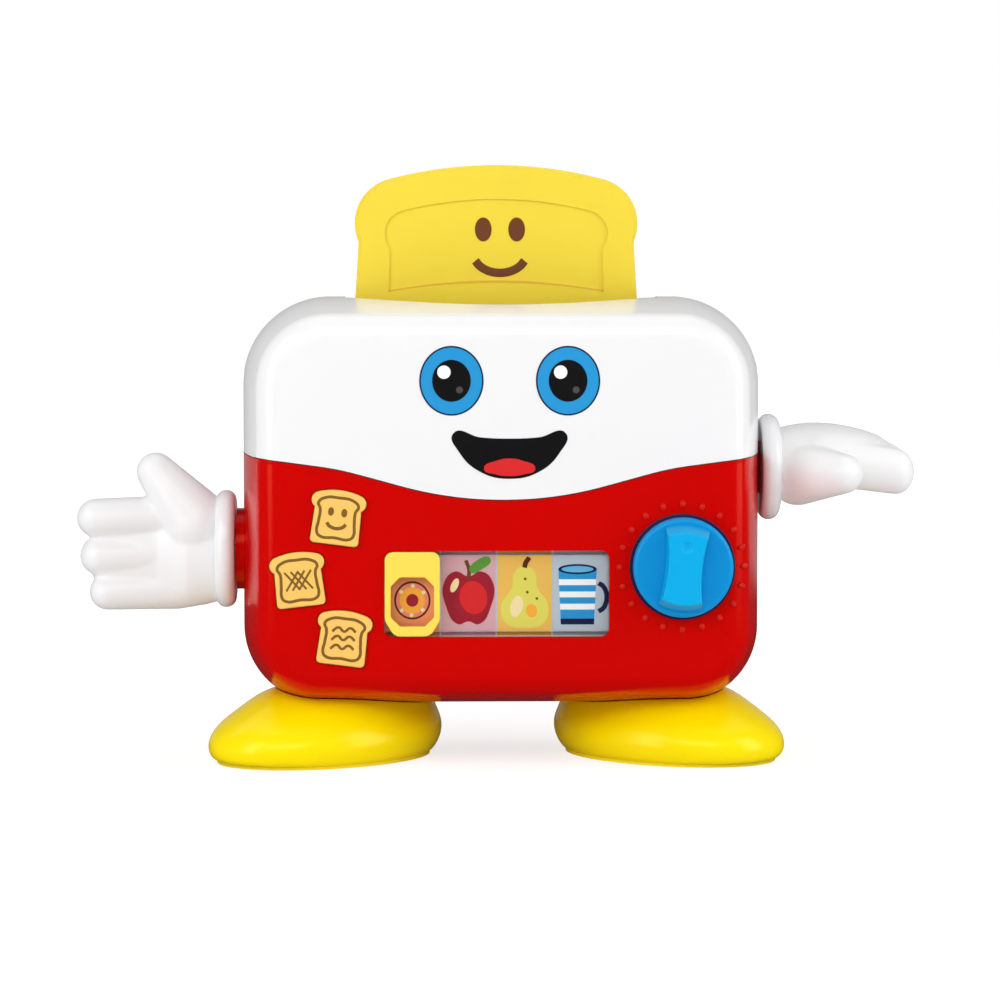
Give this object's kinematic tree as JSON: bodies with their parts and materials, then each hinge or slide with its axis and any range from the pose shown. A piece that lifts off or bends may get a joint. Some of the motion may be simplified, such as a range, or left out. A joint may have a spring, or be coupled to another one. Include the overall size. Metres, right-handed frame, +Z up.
{
  "type": "toy toaster",
  "caption": "Toy toaster on shoe-shaped feet: a slice pops up, one hand is the lever, the other turns, with a timer knob, slice-shaped buttons and a picture selector.",
  "frame": {"origin": "on the floor, under the middle of the whole toy's width and depth", "axes": "+X to the viewer's right along the width, -Y out of the front with the face and the knob, +Z up"},
  "size_m": [0.3241, 0.103, 0.2272],
  "materials": {
    "white_plastic": "smooth gloss",
    "red_plastic": "smooth gloss",
    "foot_yellow": "satin gloss",
    "sole_yellow": "fine texture",
    "toast_yellow": "satin, brown print",
    "knob_blue": "satin gloss",
    "button_yellow": "satin, brown line print",
    "selector_yellow": "smooth gloss",
    "clear_lens": "clear polished plastic",
    "printed_card": "printed in colours",
    "white_insert": "plain",
    "grey_insert": "plain",
    "dark_plastic": "plain",
    "nylon": "plain",
    "rubber_grey": "plain",
    "paper_cone": "treated paper",
    "board_green": "solder mask",
    "steel": "bright",
    "copper_coil": "enamelled wire",
    "cell_wrap": "plain sleeve"
  },
  "bodies": {
    "housing": {"battery_cells": "cell_wrap", "battery_contacts": "steel", "battery_tray": "grey_insert", "board_chips": "dark_plastic", "chassis_plate": "grey_insert", "circuit_board": "board_green", "detent_spring": "steel", "foot_screws": "steel", "front_housing": "red_plastic", "guide_rods": "steel", "housing_screws": "steel", "inner_screws": "steel", "left_foot": "foot_yellow", "left_sole": "sole_yellow", "lift_springs": "steel", "light_box": "white_insert", "magnet_coil": "copper_coil", "magnet_core": "steel", "picture_card": "printed_card", "power_switch": "dark_plastic", "rear_housing": "red_plastic", "right_foot": "foot_yellow", "right_sole": "sole_yellow", "rubber_dome_bottom": "rubber_grey", "rubber_dome_middle": "rubber_grey", "rubber_dome_top": "rubber_grey", "shoulder_collar": "red_plastic", "sole_screws": "steel", "speaker_basket": "dark_plastic", "speaker_cone": "paper_cone", "timer_switch": "dark_plastic", "toast_chute": "grey_insert", "upper_cover": "white_plastic", "window_lamps": "white_insert", "window_lens": "clear_lens"},
    "carriage": {"carriage_beam": "grey_insert", "carriage_bushes": "nylon", "lever_arm": "red_plastic", "lever_screws": "steel", "latch_plate": "steel", "lever_hand": "white_plastic", "lever_cuff": "white_plastic"},
    "toast": {"toast_slice": "toast_yellow"},
    "knob": {"timer_knob": "knob_blue", "knob_shaft": "nylon", "detent_wheel": "nylon"},
    "button_top": {"toast_button_top": "button_yellow"},
    "button_middle": {"toast_button_middle": "button_yellow"},
    "button_bottom": {"toast_button_bottom": "button_yellow"},
    "selector": {"picture_selector": "selector_yellow"},
    "turning_hand": {"left_hand": "white_plastic", "left_cuff": "white_plastic", "left_wrist_washer": "grey_insert", "left_wrist_screw": "steel"},
    "battery_cover": {"battery_door": "red_plastic", "door_screw": "steel"},
    "switch_slider": {"switch_thumb": "dark_plastic"}
  },
  "joints": [
    {"name": "lever_slide", "type": "slide", "parent": "housing", "child": "carriage", "axis": [0, 0, 1], "range_m": [-0.04, 0], "stiffness_N_per_m": 80, "springref_m": 0.03, "deforming": ["lift_springs"]},
    {"name": "toast_lift", "type": "slide", "parent": "carriage", "child": "toast", "axis": [0, 0, 1], "range_m": [0, 0.1]},
    {"name": "knob_turn", "type": "hinge", "parent": "housing", "child": "knob", "pos_m": [0.067, -0.0385, 0.0759], "axis": [0, -1, 0], "continuous": true},
    {"name": "button_top_press", "type": "slide", "parent": "housing", "child": "button_top", "axis": [0, 1, 0], "range_m": [0, 0.0025], "stiffness_N_per_m": 500, "springref_m": -0.001, "deforming": ["rubber_dome_top"]},
    {"name": "button_middle_press", "type": "slide", "parent": "housing", "child": "button_middle", "axis": [0, 1, 0], "range_m": [0, 0.0025], "stiffness_N_per_m": 500, "springref_m": -0.001, "deforming": ["rubber_dome_middle"]},
    {"name": "button_bottom_press", "type": "slide", "parent": "housing", "child": "button_bottom", "axis": [0, 1, 0], "range_m": [0, 0.0025], "stiffness_N_per_m": 500, "springref_m": -0.001, "deforming": ["rubber_dome_bottom"]},
    {"name": "selector_slide", "type": "slide", "parent": "housing", "child": "selector", "axis": [1, 0, 0], "range_m": [0, 0.06315]},
    {"name": "wrist_turn", "type": "hinge", "parent": "housing", "child": "turning_hand", "pos_m": [-0.102, 0.0065, 0.0799], "axis": [1, 0, 0], "range_deg": [-90, 90]},
    {"name": "battery_cover_hinge", "type": "hinge", "parent": "housing", "child": "battery_cover", "pos_m": [0, 0.0515, 0.0395], "axis": [-1, 0, 0], "range_deg": [0, 75]},
    {"name": "power_slide", "type": "slide", "parent": "housing", "child": "switch_slider", "axis": [1, 0, 0], "range_m": [0, 0.005]}
  ]
}
